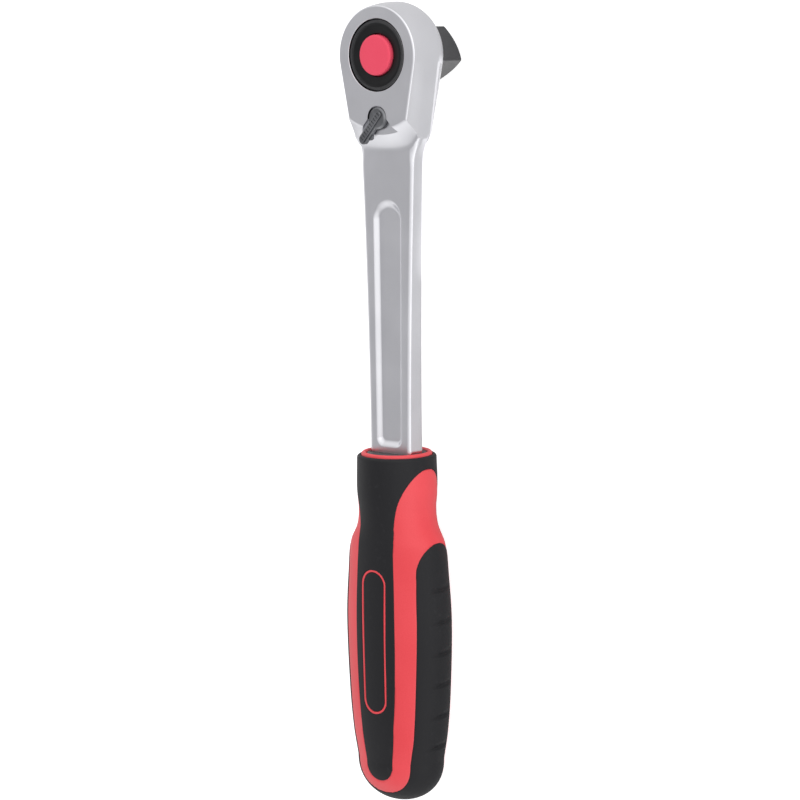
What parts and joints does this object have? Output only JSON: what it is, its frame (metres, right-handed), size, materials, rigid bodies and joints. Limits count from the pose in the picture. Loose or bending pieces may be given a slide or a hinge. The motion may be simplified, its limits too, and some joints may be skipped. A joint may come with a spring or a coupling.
{
  "type": "socket ratchet",
  "caption": "Reversible socket ratchet with a pear head, quick-release square drive, flat shank and oval two-colour handle.",
  "frame": {"origin": "centre of the end face of the drive square, on the drive axis", "axes": "+Z along the drive axis, out through the face with the release button; +X along the tool, to the butt of the handle"},
  "size_m": [0.2498, 0.0374, 0.0384],
  "materials": {
    "satin_chrome": "satin",
    "dark_steel": "black phosphate",
    "gunmetal": "satin",
    "bright_steel": "polished",
    "spring_steel": "drawn",
    "red_plastic": "satin",
    "soft_black": "fine matt",
    "hard_black": "matt"
  },
  "bodies": {
    "body": {"ratchet_body": "satin_chrome", "back_cover": "dark_steel", "cover_snap_ring": "spring_steel", "drive_seal": "hard_black", "tang_sleeve": "hard_black", "handle_shell": "red_plastic", "grip_sleeve": "soft_black", "grip_saddle": "soft_black", "name_plate_front": "soft_black", "name_plate_back": "soft_black"},
    "drive": {"drive_gear": "dark_steel", "hub_bezel": "hard_black", "release_spring": "spring_steel"},
    "button": {"release_button": "red_plastic", "release_pin": "bright_steel"},
    "ball": {"detent_ball": "bright_steel"},
    "lever": {"reverse_lever": "gunmetal", "lever_snap_ring": "spring_steel", "pawl_spring": "spring_steel"},
    "plunger": {"pawl_plunger": "bright_steel"},
    "pawl": {"pawl": "dark_steel"}
  },
  "joints": [
    {"name": "drive_spin", "type": "hinge", "parent": "body", "child": "drive", "pos_m": [0, 0, 0], "axis": [0, 0, 1], "continuous": true},
    {"name": "lever_flip", "type": "hinge", "parent": "body", "child": "lever", "pos_m": [0.019, 0, 0], "axis": [0, 0, 1], "range_deg": [0, 83]},
    {"name": "pawl_rock", "type": "hinge", "parent": "body", "child": "pawl", "pos_m": [0.0132, 0, 0], "axis": [0, 0, 1], "range_deg": [-8, 0]},
    {"name": "button_press", "type": "slide", "parent": "drive", "child": "button", "axis": [0, 0, -1], "range_m": [0, 0.0026], "stiffness_N_per_m": 1200, "springref_m": -0.003, "deforming": ["release_spring"]},
    {"name": "ball_retract", "type": "slide", "parent": "drive", "child": "ball", "axis": [-0.5446, 0.8387, 0], "range_m": [0, 0.0009]},
    {"name": "plunger_slide", "type": "slide", "parent": "lever", "child": "plunger", "axis": [0.749, -0.6626, 0], "range_m": [0, 0.0008], "stiffness_N_per_m": 1000, "springref_m": -0.001, "deforming": ["pawl_spring"]}
  ],
  "couplings": [
    {"joint": "pawl_rock", "follows": "lever_flip", "ratio": -0.09638},
    {"joint": "ball_retract", "follows": "button_press", "ratio": 0.346}
  ]
}
